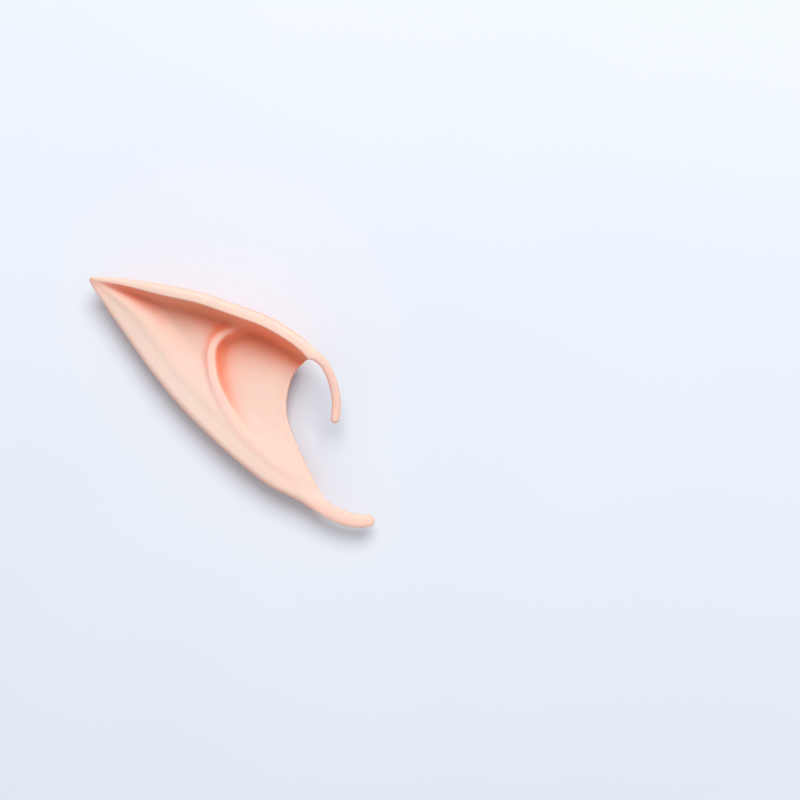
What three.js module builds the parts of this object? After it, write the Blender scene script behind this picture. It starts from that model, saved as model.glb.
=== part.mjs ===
// A slip-on elf ear tip, cast in soft latex and lying on its back.
// One skin makes the whole thing: a modelled front, a plain rounded back, and between the two
// a pocket for the wearer's own ear, open along the concave edge. Two narrow straps of the
// same latex run on from the rims, one in front of the ear and one under its lobe.
// Millimetres, +Z up out of the modelled front, +Y towards the top of the ear, +X to the face.

import * as THREE from 'three';

// Outline
const spanX = 95.5;           // from the pointed tip to the end of the lower strap, across
const spanY = 83.5;           // from the pointed tip to the underside of the lower strap
const tipSoftness = 5.6;      // how far the two rims melt together at the tip

// Heights above the table that the back lies on
const rimHeight = 22;         // top of the upper rim where it is highest
const tipLift = 6;            // underside of the tip, which stands clear of the table
const upperRootLift = 3;      // how far the back climbs to the root of the upper strap
const lowerRootLift = 4.5;    // and to the root of the lower one
const rootReach = 17;         // distance from a root over which it climbs

// Rims
const rollRadius = 2.2;       // rounding of the outer edge
const upperBand = 3.4;        // flat-topped width of the upper rim
const upperSlope = 4.6;       // width of its steep fall to the floor of the front
const upperBrink = 0.2;       // how rounded that fall begins, as a share of its width
const upperHollow = 2.8;      // how hollow it is; 1 would be a straight ramp
const lowerBand = 3.4;        // width of the lower rim
const lowerSlope = 13;        // its gentle fall to the floor of the front
const groovePlace = 5.2;      // a shallow line inside the lower rim, this far in
const grooveWidth = 2;
const grooveDepth = 0.3;
const upperShoulder = 13;     // how far the back rounds under before it lies flat
const lowerShoulder = 8;      // the same below the lower rim

// Inner ridge and the bowl beside it
const ridgeHalfWidth = 1.9;
const ridgeHeight = 1.1;
const swellWidth = 6;         // the soft rise that the ridge stands on
const swellHeight = 1.3;
const bowlStart = 0.7;        // the bowl's step begins this far past the ridge's line
const bowlStep = 3.4;         // and falls over this width
const bowlDepth = 2.4;

// Skin, and the pocket's mouth
const wall = 1.3;
const edgeDrop = 1.1;         // how far the front turns down at the free edge
const edgeZone = 5;           // over this width
const backSetback = 5;        // the back skin stops this much short of the front one
const closedGap = 0.8;        // the pocket ends where its two skins come this close
const clearUntil = 2;         // up to this section it keeps clear of the upper rim's fall
const underRimFrom = 4.5;     // and from this one it reaches in under the rim

// Straps
const upperStrapWidth = 2.9;
const lowerStrapWidth = 4.6;
const strapThickness = 2.2;
const strapDrop = 8;          // how much lower the upper strap's end lies than its root

// Sections across the ear, from the root of the upper strap round the tip to the lower strap.
// edge is on the free edge and rim on the outline, as shares of spanX and spanY. top and floor
// are shares of rimHeight, lift of tipLift and bowl of bowlDepth.
const sections = [
  { edgeX: 0.790, edgeY: 0.664, rimX: 0.807, rimY: 0.699, top: 0.92, floor: 0.52, lift: 0.00, bowl: 0.30 },
  { edgeX: 0.760, edgeY: 0.655, rimX: 0.746, rimY: 0.762, top: 0.96, floor: 0.49, lift: 0.00, bowl: 0.60 },
  { edgeX: 0.736, edgeY: 0.634, rimX: 0.643, rimY: 0.832, top: 0.99, floor: 0.47, lift: 0.00, bowl: 0.90 },
  { edgeX: 0.720, edgeY: 0.607, rimX: 0.524, rimY: 0.883, top: 1.00, floor: 0.46, lift: 0.00, bowl: 1.00 },
  { edgeX: 0.711, edgeY: 0.584, rimX: 0.404, rimY: 0.929, top: 0.96, floor: 0.46, lift: 0.00, bowl: 1.00 },
  { edgeX: 0.705, edgeY: 0.561, rimX: 0.265, rimY: 0.962, top: 0.86, floor: 0.45, lift: 0.12, bowl: 1.00 },
  { edgeX: 0.701, edgeY: 0.541, rimX: 0.141, rimY: 0.984, top: 0.70, floor: 0.41, lift: 0.45, bowl: 0.92 },
  { edgeX: 0.697, edgeY: 0.519, rimX: -0.006, rimY: 1.003, top: 0.50, floor: 0.37, lift: 0.80, bowl: 0.85 },
  { edgeX: 0.695, edgeY: 0.496, rimX: 0.050, rimY: 0.913, top: 0.48, floor: 0.37, lift: 0.60, bowl: 0.72 },
  { edgeX: 0.695, edgeY: 0.472, rimX: 0.121, rimY: 0.793, top: 0.47, floor: 0.37, lift: 0.28, bowl: 0.60 },
  { edgeX: 0.698, edgeY: 0.438, rimX: 0.226, rimY: 0.623, top: 0.47, floor: 0.37, lift: 0.04, bowl: 0.42 },
  { edgeX: 0.708, edgeY: 0.399, rimX: 0.330, rimY: 0.480, top: 0.48, floor: 0.38, lift: 0.00, bowl: 0.26 },
  { edgeX: 0.724, edgeY: 0.350, rimX: 0.433, rimY: 0.362, top: 0.49, floor: 0.39, lift: 0.00, bowl: 0.12 },
  { edgeX: 0.750, edgeY: 0.284, rimX: 0.536, rimY: 0.256, top: 0.49, floor: 0.39, lift: 0.00, bowl: 0.03 },
  { edgeX: 0.776, edgeY: 0.223, rimX: 0.638, rimY: 0.167, top: 0.48, floor: 0.39, lift: 0.00, bowl: 0.00 },
  { edgeX: 0.809, edgeY: 0.152, rimX: 0.741, rimY: 0.106, top: 0.46, floor: 0.38, lift: 0.00, bowl: 0.00 },
  { edgeX: 0.851, edgeY: 0.097, rimX: 0.827, rimY: 0.045, top: 0.43, floor: 0.37, lift: 0.00, bowl: 0.00 },
];
const tipSection = 7;
const lastSection = sections.length - 1;

// Line of the inner ridge, which arches over the bowl and runs out towards the lower strap;
// raise is a share of its height.
const ridgeRows = [
  { x: 0.700, y: 0.772, raise: 0.00 },
  { x: 0.635, y: 0.800, raise: 0.20 },
  { x: 0.573, y: 0.806, raise: 0.70 },
  { x: 0.518, y: 0.789, raise: 1.00 },
  { x: 0.467, y: 0.755, raise: 1.00 },
  { x: 0.443, y: 0.706, raise: 1.00 },
  { x: 0.441, y: 0.650, raise: 1.00 },
  { x: 0.451, y: 0.585, raise: 1.00 },
  { x: 0.475, y: 0.515, raise: 0.90 },
  { x: 0.518, y: 0.430, raise: 0.72 },
  { x: 0.572, y: 0.343, raise: 0.55 },
  { x: 0.642, y: 0.248, raise: 0.35 },
  { x: 0.761, y: 0.126, raise: 0.00 },
];

// Middle line of each strap from its root to its end, as shares of spanX and spanY; width is a
// share of the strap's width, and drop of strapDrop, below its root.
const upperStrap = [
  { x: 0.825, y: 0.656, width: 1.02, drop: 0.12 },
  { x: 0.845, y: 0.617, width: 0.95, drop: 0.32 },
  { x: 0.861, y: 0.568, width: 0.97, drop: 0.55 },
  { x: 0.870, y: 0.505, width: 1.00, drop: 0.78 },
  { x: 0.868, y: 0.458, width: 0.98, drop: 0.92 },
  { x: 0.862, y: 0.417, width: 0.92, drop: 1.00 },
];
const lowerStrap = [
  { x: 0.883, y: 0.046, width: 1.03, drop: 0.04 },
  { x: 0.917, y: 0.034, width: 1.00, drop: 0.08 },
  { x: 0.950, y: 0.028, width: 0.96, drop: 0.12 },
  { x: 0.982, y: 0.030, width: 0.86, drop: 0.16 },
  { x: 1.000, y: 0.035, width: 0.80, drop: 0.18 },
];

// Fineness of the mesh
const rimSamples = 24;        // points on a rim or ridge line for each section
const bodySteps = 3;          // stations between two sections
const fineSteps = 5;          // the same, next to the tip and at the upper strap's root
const strapStations = 7;
const capStations = 3;
const blendSections = 1.3;    // sections over which a strap widens into the body
const ridgeFineness = 4;      // how much closer the stops stand on the ridge
const ridgeZone = 3.5;        // and over what distance from its line

const smooth = (from, to, value) => THREE.MathUtils.smoothstep(value, from, to);
const mix = THREE.MathUtils.lerp;

// Value of a table's column at section t, on a smooth line through the rows.
function column(rows, name, t) {
  const last = rows.length - 1;
  const i = THREE.MathUtils.clamp(Math.floor(t), 0, last - 1);
  const f = t - i;
  const a = rows[Math.max(i - 1, 0)][name];
  const b = rows[i][name];
  const c = rows[i + 1][name];
  const d = rows[Math.min(i + 2, last)][name];
  const startSlope = (c - a) / 2;
  const endSlope = (d - b) / 2;
  const f2 = f * f;
  const f3 = f2 * f;
  return b * (2 * f3 - 3 * f2 + 1) + startSlope * (f3 - 2 * f2 + f)
    + c * (3 * f2 - 2 * f3) + endSlope * (f3 - f2);
}

// The outline turns a corner at the tip, so each rim is a smooth line of its own.
const upperRows = sections.slice(0, tipSection + 1);
const lowerRows = sections.slice(tipSection);

function rimPoint(t) {
  const onUpper = t <= tipSection;
  const rows = onUpper ? upperRows : lowerRows;
  const at = onUpper ? t : t - tipSection;
  return new THREE.Vector2(column(rows, 'rimX', at) * spanX, column(rows, 'rimY', at) * spanY);
}

function edgePoint(t) {
  return new THREE.Vector2(column(sections, 'edgeX', t) * spanX, column(sections, 'edgeY', t) * spanY);
}

function ridgePoint(t) {
  return new THREE.Vector2(column(ridgeRows, 'x', t) * spanX, column(ridgeRows, 'y', t) * spanY);
}

function sampled(pointAt, from, to) {
  const count = (to - from) * rimSamples;
  const line = [];
  for (let i = 0; i <= count; i += 1) {
    const t = from + (i / count) * (to - from);
    const point = pointAt(t);
    line.push({ x: point.x, y: point.y, t });
  }
  return line;
}

const upperRim = sampled(rimPoint, 0, tipSection);
const lowerRim = sampled(rimPoint, tipSection, lastSection);
const freeEdge = sampled(edgePoint, 0, lastSection);
const ridgeLine = sampled(ridgePoint, 0, ridgeRows.length - 1);

// Distance from a point to a line, the section where it is nearest, and the side it is on:
// positive to the right of the line's own direction.
function nearest(line, x, y) {
  let best = { squared: Infinity, t: 0, side: 1 };
  for (let i = 1; i < line.length; i += 1) {
    const a = line[i - 1];
    const b = line[i];
    const dx = b.x - a.x;
    const dy = b.y - a.y;
    const along = ((x - a.x) * dx + (y - a.y) * dy) / (dx * dx + dy * dy);
    const f = THREE.MathUtils.clamp(along, 0, 1);
    const gapX = x - (a.x + f * dx);
    const gapY = y - (a.y + f * dy);
    const squared = gapX * gapX + gapY * gapY;
    if (squared < best.squared) {
      best = { squared, t: mix(a.t, b.t, f), side: Math.sign(gapX * dy - gapY * dx) };
    }
  }
  return { distance: Math.sqrt(best.squared), t: best.t, side: best.side };
}

// How fully grown the rims are: small at the tip, whole a few sections away.
const growth = (t) => mix(0.4, 1, smooth(0, 2.6, Math.abs(t - tipSection)));

// The back climbs towards the root of each strap.
const upperRoot = edgePoint(0).lerp(rimPoint(0), 0.5);
const lowerRoot = edgePoint(lastSection).lerp(rimPoint(lastSection), 0.5);

function climb(x, y) {
  const nearUpper = 1 - smooth(0, rootReach, Math.hypot(x - upperRoot.x, y - upperRoot.y));
  const nearLower = 1 - smooth(0, rootReach, Math.hypot(x - lowerRoot.x, y - lowerRoot.y));
  return upperRootLift * nearUpper + lowerRootLift * nearLower;
}

// What both faces share at a point: the distance in from the outline, the two rims'
// distances, and the heights that the nearest sections give.
function place(x, y) {
  const upper = nearest(upperRim, x, y);
  const lower = nearest(lowerRim, x, y);
  const upperShare = (lower.distance ** 2 + 1e-9) / (upper.distance ** 2 + lower.distance ** 2 + 2e-9);
  const blend = (name) => mix(column(sections, name, lower.t), column(sections, name, upper.t), upperShare);
  const softened = ((upper.distance + tipSoftness) ** -4 + (lower.distance + tipSoftness) ** -4) ** -0.25;
  const size = mix(growth(lower.t), growth(upper.t), upperShare);
  return {
    x,
    y,
    upper,
    lower,
    inset: Math.max(softened - tipSoftness, 0),
    crest: blend('top') * rimHeight,
    floor: blend('floor') * rimHeight,
    bowl: blend('bowl') * bowlDepth,
    underside: blend('lift') * tipLift + climb(x, y),
    roll: rollRadius * size,
    shoulder: mix(lowerShoulder, upperShoulder, upperShare) * size,
  };
}

function inset(x, y) {
  return place(x, y).inset;
}

// One on the upper rim's band, then a rounded brink and a steep fall that levels out.
function upperFall(distance, size) {
  const u = THREE.MathUtils.clamp((distance / size - upperBand) / upperSlope, 0, 1);
  const whole = Math.hypot(1, upperBrink) - upperBrink;
  return (1 - (Math.hypot(u, upperBrink) - upperBrink) / whole) ** upperHollow;
}

// One on the lower rim's band, then a long gentle fall.
function lowerFall(distance, size) {
  return 1 - smooth(lowerBand, lowerBand + lowerSlope, distance / size);
}

// Share of the rims in the height at a point, 1 on their tops and 0 on the floor between them.
function rimShares(at, shift) {
  const upper = upperFall(at.upper.distance + shift, growth(at.upper.t));
  const lower = lowerFall(at.lower.distance + shift, growth(at.lower.t));
  return 1 - (1 - upper) * (1 - lower);
}

// One at a place and fading to nothing on both sides of it.
const hump = (distance, at, width) => Math.exp(-(((distance - at) / width) ** 2));

function groove(at) {
  const line = hump(at.lower.distance / growth(at.lower.t), groovePlace, grooveWidth);
  return grooveDepth * line * smooth(0, 6, at.upper.distance - at.lower.distance);
}

// The ridge is a low crown on a soft swell, with a furrow on the far side from the bowl.
function ridgeAndBowl(at, rims) {
  const near = nearest(ridgeLine, at.x, at.y);
  const inward = -near.side * near.distance;
  const furrow = 0.25 * hump(inward / ridgeHalfWidth, -1.5, 0.5);
  const crown = hump(near.distance / ridgeHalfWidth, 0, 0.8) - furrow;
  const step = smooth(bowlStart, bowlStart + bowlStep, inward);
  const swell = swellHeight * hump(near.distance, 0, swellWidth) * (1 - step);
  const raised = (ridgeHeight * crown + swell) * column(ridgeRows, 'raise', near.t);
  return (raised - at.bowl * step) * (1 - rims);
}

function edgeFall(at) {
  return edgeDrop * (1 - smooth(0, edgeZone, nearest(freeEdge, at.x, at.y).distance));
}

function frontHeight(x, y) {
  const at = place(x, y);
  const rims = rimShares(at, 0);
  const inward = Math.max(at.roll - at.inset, 0);
  const rounding = at.roll - Math.sqrt(at.roll ** 2 - inward ** 2);
  const body = at.floor + (at.crest - at.floor) * rims;
  return body + ridgeAndBowl(at, rims) - groove(at) - rounding - edgeFall(at);
}

// The back rounds under from the outline as a quarter of an ellipse, then lies flat.
function backShape(at, distance) {
  const out = THREE.MathUtils.clamp(1 - distance / at.shoulder, 0, 1);
  return at.underside + (at.crest - at.roll - at.underside) * (1 - Math.sqrt(1 - out * out));
}

function backHeight(x, y) {
  const at = place(x, y);
  return backShape(at, at.inset);
}

// Pocket between the skins. Its roof follows the front without the small relief, because
// latex pools in narrow folds, and stays a wall's thickness below it.
function pocketRoof(x, y) {
  const at = place(x, y);
  const rims = rimShares(at, wall);
  const near = nearest(ridgeLine, x, y);
  const bowl = at.bowl * smooth(-bowlStep, bowlStep / 3, -near.side * near.distance) * (1 - rims);
  return at.floor + (at.crest - at.floor) * rims - bowl - edgeFall(at) - wall;
}

function pocketFloor(x, y) {
  const at = place(x, y);
  return backShape(at, Math.max(at.inset - wall, 0)) + wall;
}

// One section line across the ear, from the free edge to the outline.
function sectionLine(t) {
  const edge = edgePoint(t);
  const rim = rimPoint(t);
  const length = edge.distanceTo(rim);
  const direction = rim.clone().sub(edge).divideScalar(length);
  const at = (s) => ({ x: edge.x + direction.x * s, y: edge.y + direction.y * s });
  return { t, edge, rim, length, direction, at };
}

// Place on a section line that lies this far in from the outline.
function reach(line, level) {
  let near = 0;
  let far = line.length;
  for (let i = 0; i < 30; i += 1) {
    const middle = (near + far) / 2;
    const point = line.at(middle);
    if (inset(point.x, point.y) > level) near = middle;
    else far = middle;
  }
  return (near + far) / 2;
}

function spaced(from, to, count) {
  return Array.from({ length: count }, (_, i) => mix(from, to, (i + 1) / count));
}

// Stops between two places on a section line that stand closer together near the ridge.
function crowded(line, from, to, count) {
  const samples = 80;
  const stops = Array.from({ length: samples + 1 }, (_, i) => mix(from, to, i / samples));
  const weights = [0];
  for (let i = 1; i <= samples; i += 1) {
    const middle = line.at((stops[i - 1] + stops[i]) / 2);
    const distance = nearest(ridgeLine, middle.x, middle.y).distance;
    weights.push(weights[i - 1] + 1 + ridgeFineness * hump(distance, 0, ridgeZone));
  }
  let i = 1;
  return spaced(0, weights[samples], count).map((level) => {
    while (i < samples && weights[i] < level) i += 1;
    return mix(stops[i - 1], stops[i], (level - weights[i - 1]) / (weights[i] - weights[i - 1]));
  });
}

// Stops along the front from the free edge out to the outline. They crowd on the ridge and
// on the rim, so that both keep their form in few faces.
function frontStops(line, depth) {
  const size = growth(line.t);
  const onLower = smooth(-1, 1, line.t - tipSection);
  const band = mix(upperBand, lowerBand, onLower) * size;
  const slope = mix(upperSlope, lowerSlope / 5, onLower) * size;
  const roll = rollRadius * size;
  const bandStops = [band + slope, band + slope * 0.7, band + slope * 0.35, band, (band + roll) / 2];
  const rollStops = [1, 0.617, 0.293, 0.076].map((share) => roll * share);
  const levels = [...bandStops, ...rollStops];
  const squeeze = Math.min(1, (0.62 * depth) / levels[0]);
  const collar = levels.map((level) => reach(line, level * squeeze));
  const start = wall / 2;
  return [start, ...crowded(line, start, collar[0], 15), ...collar.slice(1)];
}

function backStops(line, mouth, depth) {
  const width = upperShoulder * growth(line.t);
  const squeeze = Math.min(1, (0.8 * depth) / width);
  const shares = [0.02, 0.08, 0.19, 0.35, 0.55, 0.78, 1];
  const shoulder = shares.map((share) => reach(line, share * width * squeeze));
  return [...shoulder, ...spaced(shoulder.at(-1), mouth + wall / 2, 3)];
}

function pocketGap(line, s) {
  const point = line.at(s);
  return pocketRoof(point.x, point.y) - pocketFloor(point.x, point.y);
}

// The pocket's inner end on a section line, where its roof and floor meet. Beside the root of
// the upper strap it keeps clear of the rim's steep fall.
function pocketEnd(line, mouth, depth) {
  const foot = Math.min((upperBand + upperSlope) * growth(line.t), 0.62 * depth);
  const clear = foot * (1 - smooth(clearUntil, underRimFrom, line.t));
  const limit = Math.max(reach(line, clear), mouth + wall);
  const step = 0.5;
  let open = mouth + wall;
  while (open + step < limit && pocketGap(line, open + step) > closedGap) open += step;
  let shut = Math.min(open + step, limit);
  for (let i = 0; i < 20; i += 1) {
    const middle = (open + shut) / 2;
    if (pocketGap(line, middle) > closedGap) open = middle;
    else shut = middle;
  }
  return open;
}

function pocketStops(line, mouth, end) {
  const size = growth(line.t);
  const onLower = smooth(-1, 1, line.t - tipSection);
  const foot = mix(upperBand + upperSlope, lowerBand + lowerSlope / 2, onLower) * size;
  const endPoint = line.at(end);
  const endLevel = inset(endPoint.x, endPoint.y);
  const start = mouth + wall / 2;
  const footStop = THREE.MathUtils.clamp(reach(line, Math.max(foot, endLevel)), mix(start, end, 0.4), mix(start, end, 0.9));
  return [start, ...spaced(start, footStop, 5), ...spaced(footStop, end, 4)];
}

// The closed section of the skin on one section line: along the front to the outline, back
// under it to the mouth, round the back skin's edge, into the pocket and out again, and round
// the front skin's edge. Each point also has the share of the line that it stands at.
function skinLoop(line) {
  const setback = backSetback * smooth(0, 3, Math.min(line.t, lastSection - line.t));
  const edgeDepth = inset(line.edge.x, line.edge.y);
  const mouth = Math.min(setback, 0.4 * line.length);
  const mouthPoint = line.at(mouth);
  const mouthDepth = inset(mouthPoint.x, mouthPoint.y);
  const end = pocketEnd(line, mouth, edgeDepth);
  const rimStop = reach(line, 0);
  const loop = [];
  const add = (s, height) => {
    const point = line.at(s);
    loop.push({ point: new THREE.Vector3(point.x, point.y, height(point.x, point.y)), share: s / line.length });
  };
  const front = frontStops(line, edgeDepth);
  front.forEach((s) => add(s, frontHeight));
  const counts = { front: loop.length };
  add(rimStop, (x, y) => backShape(place(x, y), 0));
  const back = backStops(line, mouth, mouthDepth);
  back.forEach((s) => add(s, backHeight));
  counts.back = loop.length;
  add(mouth, (x, y) => backHeight(x, y) + wall / 2);
  const inside = pocketStops(line, mouth, end);
  inside.forEach((s) => add(s, pocketFloor));
  const roof = pocketStops(line, 0, end);
  roof.slice(0, -1).reverse().forEach((s) => add(s, pocketRoof));
  add(0, (x, y) => frontHeight(x, y) - wall / 2);
  return { loop, counts };
}

// The same number of points round a solid oval strap. The points of the pocket lie together
// on the side that faces the free edge.
function strapLoop(inner, outer, middleHeight, thickness, pattern) {
  const seam = 0.22 * Math.PI;
  const { loop, counts } = pattern;
  const hidden = loop.length - counts.back;
  return loop.map(({ share }, i) => {
    const level = Math.acos(THREE.MathUtils.clamp(1 - 2 * share, -1, 1));
    let angle = THREE.MathUtils.clamp(level, seam, Math.PI);
    if (i >= counts.front) angle = 2 * Math.PI - angle;
    if (i >= counts.back) angle = mix(-seam, seam, (i - counts.back + 1) / (hidden + 1));
    const across = (1 - Math.cos(angle)) / 2;
    const height = middleHeight + (thickness / 2) * Math.sin(angle);
    return new THREE.Vector3(mix(inner.x, outer.x, across), mix(inner.y, outer.y, across), height);
  });
}

const strapHeight = (t) => column(sections, 'top', t) * rimHeight - strapThickness / 2;

// Loop of the body at section t, run together with the strap's oval near either root.
function bodyLoop(t) {
  const line = sectionLine(t);
  const skin = skinLoop(line);
  const share = smooth(0, blendSections, Math.min(t, lastSection - t));
  const oval = strapLoop(line.edge, line.rim, strapHeight(t), strapThickness, skin);
  return skin.loop.map(({ point }, i) => oval[i].lerp(point, share));
}

function bodyStations() {
  const stations = [0];
  for (let i = 0; i < lastSection; i += 1) {
    const beforeTip = i + 1 === tipSection;
    const afterTip = i === tipSection;
    const steps = beforeTip || afterTip || i === 0 ? fineSteps : bodySteps;
    for (let k = 1; k <= steps; k += 1) {
      const even = k / steps;
      const eased = beforeTip ? 1 - (1 - even) ** 1.3 : even ** 1.3;
      stations.push(i + (beforeTip || afterTip ? eased : even));
    }
  }
  return stations;
}

// Loops of one strap from its root out to its rounded end.
function strapLoops(rows, width, rootSection) {
  const root = sectionLine(rootSection);
  const rootWidth = root.length;
  const rootMiddle = root.edge.clone().lerp(root.rim, 0.5);
  const rootHeight = strapHeight(rootSection);
  const pattern = skinLoop(root);
  const points = rows.map((row) => new THREE.Vector3(row.x * spanX, row.y * spanY, rootHeight - row.drop * strapDrop));
  points.unshift(new THREE.Vector3(rootMiddle.x, rootMiddle.y, rootHeight));
  const curve = new THREE.CatmullRomCurve3(points);
  const widths = [{ width: rootWidth / width }, ...rows];
  const length = curve.getLength();
  const capLength = (width * rows.at(-1).width) / 2;
  const bodyEnd = 1 - capLength / length;
  const stops = spaced(0, bodyEnd, strapStations);
  for (let k = 1; k <= capStations; k += 1) {
    stops.push(mix(bodyEnd, 1, Math.sin((k / (capStations + 0.7)) * (Math.PI / 2))));
  }
  const outward = rootSection === 0 ? 1 : -1;
  return stops.map((stop) => {
    const middle = curve.getPointAt(stop);
    const tangent = curve.getTangentAt(stop);
    const normal = new THREE.Vector2(-tangent.y, tangent.x).multiplyScalar(outward).normalize();
    const direction = root.direction.clone().lerp(normal, smooth(0, 0.3, stop)).normalize();
    const fade = Math.sqrt(1 - (Math.max(stop - bodyEnd, 0) / (1 - bodyEnd)) ** 2);
    const halfWidth = (column(widths, 'width', curve.getUtoTmapping(stop) * rows.length) * width * fade) / 2;
    const inner = new THREE.Vector2(middle.x, middle.y).addScaledVector(direction, -halfWidth);
    const outer = new THREE.Vector2(middle.x, middle.y).addScaledVector(direction, halfWidth);
    return strapLoop(inner, outer, middle.z, strapThickness * fade, pattern);
  });
}

// Skin over a row of loops, with a fan of faces closing each end. Each four-sided gap
// between two loops is split along its shorter diagonal.
function lofted(loops) {
  const size = loops[0].length;
  const positions = [];
  loops.forEach((loop) => loop.forEach((point) => positions.push(point.x, point.y, point.z)));
  const faces = [];
  for (let i = 0; i + 1 < loops.length; i += 1) {
    for (let j = 0; j < size; j += 1) {
      const next = (j + 1) % size;
      const a = i * size + j;
      const b = i * size + next;
      const c = a + size;
      const d = b + size;
      const across = loops[i][next].distanceTo(loops[i + 1][j]);
      const along = loops[i][j].distanceTo(loops[i + 1][next]);
      if (across < along) faces.push(a, b, c, b, d, c);
      else faces.push(a, b, d, a, d, c);
    }
  }
  [loops[0], loops.at(-1)].forEach((loop, end) => {
    const centre = loop.reduce((sum, point) => sum.add(point), new THREE.Vector3()).divideScalar(size);
    const hub = positions.length / 3;
    const first = end * (loops.length - 1) * size;
    positions.push(centre.x, centre.y, centre.z);
    for (let j = 0; j < size; j += 1) {
      const next = (j + 1) % size;
      if (end === 0) faces.push(first + next, first + j, hub);
      else faces.push(first + j, first + next, hub);
    }
  });
  const geometry = new THREE.BufferGeometry();
  geometry.setAttribute('position', new THREE.Float32BufferAttribute(positions, 3));
  geometry.setIndex(faces);
  return geometry;
}

function earTip() {
  const upper = strapLoops(upperStrap, upperStrapWidth, 0);
  const lower = strapLoops(lowerStrap, lowerStrapWidth, lastSection);
  const loops = [...upper.reverse(), ...bodyStations().map(bodyLoop), ...lower];
  const geometry = lofted(loops);
  geometry.computeBoundingBox();
  const box = geometry.boundingBox;
  geometry.translate(-(box.min.x + box.max.x) / 2, -(box.min.y + box.max.y) / 2, -box.min.z);
  geometry.computeVertexNormals();
  const latex = new THREE.MeshStandardMaterial({ color: 0xf6c7ae, roughness: 0.5, metalness: 0 });
  const mesh = new THREE.Mesh(geometry, latex);
  mesh.name = 'ear_tip';
  return mesh;
}

const elfEarTip = new THREE.Group();
elfEarTip.add(earTip());

export default elfEarTip;
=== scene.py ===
# %% [markdown]
# # A slip-on elf ear, cast in soft latex
# The real thing is one thin skin of flesh-coloured latex: a modelled front, a plain back, and a
# pocket between them for the wearer's own ear. It lies on its back on a pale sheet.
# The frame gives its size and place. This lesson models the skin as one mesh worked out from
# section lines, gives it a latex finish, and lights it as a soft product shot.

# %% The frame
import math

import bpy
import numpy as np
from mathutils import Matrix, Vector


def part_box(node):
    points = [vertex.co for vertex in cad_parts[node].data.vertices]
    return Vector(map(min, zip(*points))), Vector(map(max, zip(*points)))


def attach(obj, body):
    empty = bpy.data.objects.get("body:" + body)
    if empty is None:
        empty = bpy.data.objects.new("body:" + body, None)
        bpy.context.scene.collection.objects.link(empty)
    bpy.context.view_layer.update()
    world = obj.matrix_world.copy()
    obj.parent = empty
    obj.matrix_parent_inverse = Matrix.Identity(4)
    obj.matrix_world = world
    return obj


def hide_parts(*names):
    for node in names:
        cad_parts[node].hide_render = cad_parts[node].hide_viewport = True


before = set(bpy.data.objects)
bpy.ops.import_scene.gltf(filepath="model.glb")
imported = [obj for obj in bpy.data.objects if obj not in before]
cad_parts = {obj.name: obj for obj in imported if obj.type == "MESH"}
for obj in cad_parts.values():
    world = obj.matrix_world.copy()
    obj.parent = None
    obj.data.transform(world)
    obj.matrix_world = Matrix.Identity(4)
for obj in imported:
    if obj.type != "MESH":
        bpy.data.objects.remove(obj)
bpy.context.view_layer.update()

low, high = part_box("ear_tip")
print("ear box in millimetres:", [round(1000 * (b - a), 1) for a, b in zip(low, high)])

# %% [markdown]
# ## Sizes
# The ear could be sculpted by hand, but a sculpt can't be checked against the real sizes.
# Here every form has a named size in millimetres, so a rim can be made wider or a bowl deeper
# by changing one value. The overall spans come from the frame's box. They are one or two per
# cent larger than it, because the section lines meet in sharp corners that the rounded tip and
# strap ends stay inside of. The first few values are shares and powers without a unit.

# %% Named sizes, in millimetres
MM = 0.001
CORNERS_X, CORNERS_Y = 1.0163, 1.0083
TIP_BLEND_POWER = 4.0
UPPER_BRINK = 0.4
UPPER_HOLLOW = 2.8
SPAN_X = CORNERS_X * (high.x - low.x) / MM
SPAN_Y = CORNERS_Y * (high.y - low.y) / MM
RIM_HEIGHT = (high.z - low.z) / MM
TIP_SOFTNESS = 5.6
TIP_LIFT = 6.0
UPPER_ROOT_LIFT = 3.0
LOWER_ROOT_LIFT = 4.5
ROOT_REACH = 17.0
ROLL_RADIUS = 2.2
UPPER_BAND = 3.4
UPPER_SLOPE = 4.6
LOWER_BAND = 3.4
LOWER_SLOPE = 13.0
UPPER_SHOULDER = 13.0
LOWER_SHOULDER = 8.0
GROOVE_PLACE = 5.2
GROOVE_WIDTH = 2.0
GROOVE_DEPTH = 0.3
GROOVE_FADE = 6.0
SWELL_WIDTH = 6.0
SWELL_HEIGHT = 1.3
RIDGE_HALF_WIDTH = 2.2
RIDGE_HEIGHT = 1.1
BOWL_START = 0.7
BOWL_STEP = 3.4
BOWL_DEPTH = 2.4
WALL = 1.3
EDGE_DROP = 1.1
EDGE_ZONE = 5.0
BACK_SETBACK = 5.0
CLOSED_GAP = 0.8
UPPER_STRAP_WIDTH = 2.9
LOWER_STRAP_WIDTH = 4.6
STRAP_THICKNESS = 2.2
STRAP_DROP = 8.0
print("spans:", round(SPAN_X, 1), "by", round(SPAN_Y, 1), "mm")
print("rim:", round(RIM_HEIGHT, 1), "mm high")

# %% [markdown]
# ## Section lines
# A sculptor's armature for this shape would be a fan of ribs, from the free edge beside the
# face to the outline of the ear. The table has one row for each rib: where it starts and ends,
# how high the rim and the floor are there, how far the back is lifted, and how deep the bowl
# is. Lengths are shares of the sizes above, so the whole fan follows them.

# %% The fan of sections
def table(names, rows):
    """The table's columns by their names, each an array with one value for a row."""
    return dict(zip(names, np.array(rows).T))


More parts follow.
